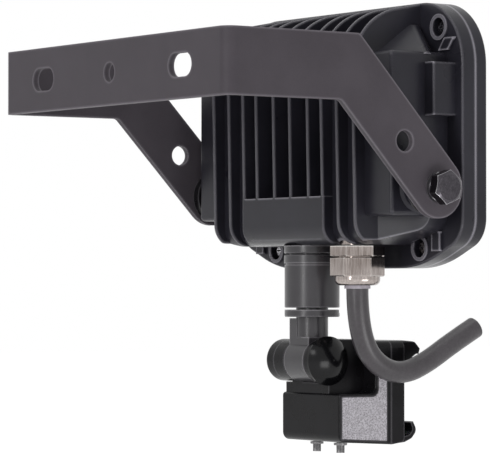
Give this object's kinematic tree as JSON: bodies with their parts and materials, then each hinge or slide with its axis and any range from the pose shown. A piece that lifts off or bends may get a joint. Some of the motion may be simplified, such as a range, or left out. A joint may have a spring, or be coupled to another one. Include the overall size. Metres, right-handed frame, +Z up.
{
  "type": "led floodlight",
  "caption": "Slim LED floodlight with cast finned housing, tilting on a wall bracket, with a swivelling motion sensor head and a cable gland with its mains cable.",
  "frame": {"origin": "on the wall face of the bracket, at the centre of its fixing holes", "axes": "+Y into the wall, +Z up, the lamp's window faces -Y"},
  "size_m": [0.189, 0.1736, 0.1972],
  "materials": {
    "bracket_coat": "fine matt powder coat",
    "housing_coat": "fine textured satin powder coat, grey",
    "zinc_steel": "dull zinc",
    "bright_steel": "polished stainless",
    "black_plastic": "satin moulded plastic",
    "satin_black_plastic": "satin moulded plastic",
    "gloss_black_plastic": "polished moulded plastic",
    "grained_grey_plastic": "spark grained",
    "window_glass": "clear tempered",
    "seal_rubber": "matt",
    "thermal_rubber": "matt",
    "pale_rubber": "matt",
    "white_board": "solder resist on aluminium",
    "led_yellow": "phosphor",
    "reflector_aluminium": "bright anodised",
    "green_board": "solder resist",
    "component_black": "moulded",
    "white_plastic": "moulded",
    "dial_grey": "moulded",
    "nickel_brass": "nickel plate",
    "cable_rubber": "matt sheath",
    "milky_lens": "translucent polyethylene"
  },
  "bodies": {
    "bracket": {"mounting_bracket": "bracket_coat"},
    "lamp": {"rear_housing": "housing_coat", "spring_washers": "zinc_steel", "friction_washers": "black_plastic", "pivot_bolts": "bright_steel", "front_frame": "housing_coat", "front_glass": "window_glass", "glass_gasket": "seal_rubber", "housing_seal": "seal_rubber", "cover_screws": "bright_steel", "thermal_pad": "thermal_rubber", "led_board": "white_board", "led_chips": "led_yellow", "board_screws": "zinc_steel", "reflector": "reflector_aluminium", "driver_board": "green_board", "driver_components": "component_black", "driver_screws": "zinc_steel", "terminal_block": "white_plastic", "terminal_screws": "zinc_steel", "earth_screw": "zinc_steel", "gland_washer": "seal_rubber", "gland_body": "nickel_brass", "gland_nut": "nickel_brass", "gland_seal": "pale_rubber", "cable_in_gland": "cable_rubber", "mains_cable": "cable_rubber", "sensor_socket": "satin_black_plastic", "stem_o_ring": "seal_rubber", "socket_locknut": "black_plastic", "sensor_sleeve": "satin_black_plastic", "lock_ring": "satin_black_plastic"},
    "sensor_arm": {"swivel_arm": "satin_black_plastic", "shaft_clip": "zinc_steel"},
    "sensor_head": {"sensor_rear_case": "black_plastic", "sensor_panels": "grained_grey_plastic", "sensor_bezel": "black_plastic", "sensor_lens": "milky_lens", "sensor_board": "green_board", "pyro_element": "zinc_steel", "control_board": "green_board", "potentiometers": "component_black", "tilt_pin": "zinc_steel", "pivot_cap": "gloss_black_plastic", "end_cap": "black_plastic"},
    "time_dial": {"time_knob": "dial_grey"},
    "lux_dial": {"lux_knob": "dial_grey"}
  },
  "joints": [
    {"name": "housing_tilt", "type": "hinge", "parent": "bracket", "child": "lamp", "pos_m": [0, -0.11, -0.0494], "axis": [1, 0, 0], "range_deg": [-90, 60]},
    {"name": "sensor_swivel", "type": "hinge", "parent": "lamp", "child": "sensor_arm", "pos_m": [0, -0.1067, -0.1], "axis": [0, 0, 1], "range_deg": [-8, 90]},
    {"name": "sensor_tilt", "type": "hinge", "parent": "sensor_arm", "child": "sensor_head", "pos_m": [0, -0.1057, -0.1241], "axis": [1, 0, 0], "range_deg": [-16, 60]},
    {"name": "time_knob_turn", "type": "hinge", "parent": "sensor_head", "child": "time_dial", "pos_m": [-0.0089, -0.1158, -0.16], "axis": [0, 0, 1], "range_deg": [-135, 135]},
    {"name": "lux_knob_turn", "type": "hinge", "parent": "sensor_head", "child": "lux_dial", "pos_m": [0.0089, -0.1158, -0.16], "axis": [0, 0, 1], "range_deg": [-135, 135]}
  ]
}
